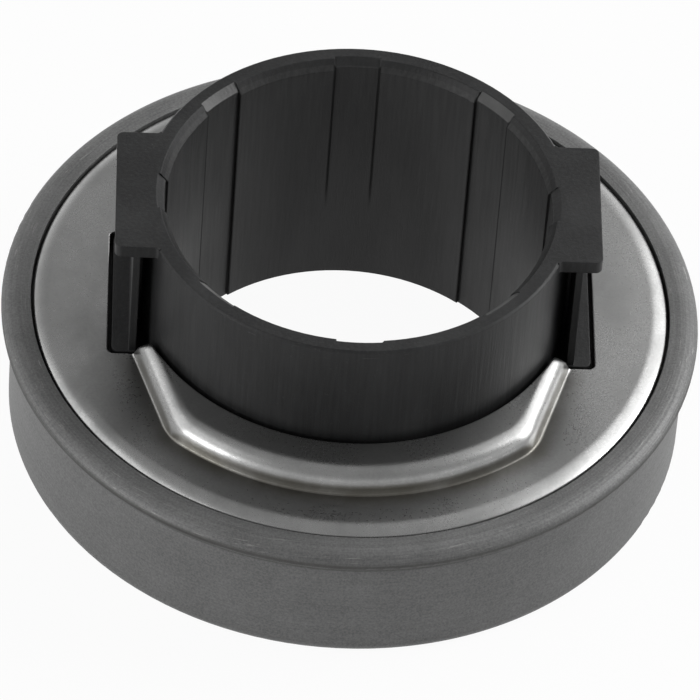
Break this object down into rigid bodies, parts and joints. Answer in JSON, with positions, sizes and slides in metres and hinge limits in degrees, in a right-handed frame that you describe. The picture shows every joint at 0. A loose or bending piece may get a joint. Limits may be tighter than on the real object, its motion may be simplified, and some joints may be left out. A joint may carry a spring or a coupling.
{
  "type": "clutch release bearing",
  "caption": "Self-centring clutch release bearing: moulded guide sleeve with fork lugs, pressed steel fork plate with raised pads, and a ball bearing whose grey outer ring turns.",
  "frame": {"origin": "on the bearing axis, in the plane of the thrust face, which is the lowest plane of the part", "axes": "+Z along the bearing axis from the clutch to the gearbox; X through the two fork lugs"},
  "size_m": [0.0792, 0.0792, 0.0338],
  "materials": {
    "black_nylon": "satin glass-filled nylon",
    "spring_steel": "bright rolled strip",
    "bright_steel": "satin pressed sheet",
    "bearing_steel": "ground",
    "phosphated_steel": "matte grey phosphate",
    "seal_rubber": "matte",
    "cage_nylon": "natural nylon",
    "ball_steel": "polished"
  },
  "bodies": {
    "sleeve": {"guide_sleeve": "black_nylon"},
    "spring": {"wave_spring": "spring_steel"},
    "carrier": {"fork_plate": "bright_steel", "inner_ring": "bearing_steel", "upper_seal": "seal_rubber"},
    "rotor": {"outer_ring": "phosphated_steel", "lower_seal": "seal_rubber"},
    "ball_set": {"ball_cage": "cage_nylon", "ball_01": "ball_steel", "ball_02": "ball_steel", "ball_03": "ball_steel", "ball_04": "ball_steel", "ball_05": "ball_steel", "ball_06": "ball_steel", "ball_07": "ball_steel", "ball_08": "ball_steel", "ball_09": "ball_steel", "ball_10": "ball_steel", "ball_11": "ball_steel", "ball_12": "ball_steel", "ball_13": "ball_steel", "ball_14": "ball_steel", "ball_15": "ball_steel", "ball_16": "ball_steel", "ball_17": "ball_steel", "ball_18": "ball_steel", "ball_19": "ball_steel", "ball_20": "ball_steel"}
  },
  "joints": [
    {"name": "centring_x", "type": "slide", "parent": "sleeve", "child": "spring", "axis": [1, 0, 0], "range_m": [-0.0004, 0.0004]},
    {"name": "centring_y", "type": "slide", "parent": "spring", "child": "carrier", "axis": [0, 1, 0], "range_m": [-0.0004, 0.0004]},
    {"name": "ring_spin", "type": "hinge", "parent": "carrier", "child": "rotor", "pos_m": [0, 0, 0.00692], "axis": [0, 0, 1], "continuous": true},
    {"name": "cage_spin", "type": "hinge", "parent": "carrier", "child": "ball_set", "pos_m": [0, 0, 0.00692], "axis": [0, 0, 1], "continuous": true}
  ],
  "couplings": [
    {"joint": "cage_spin", "follows": "ring_spin", "ratio": 0.54059}
  ]
}
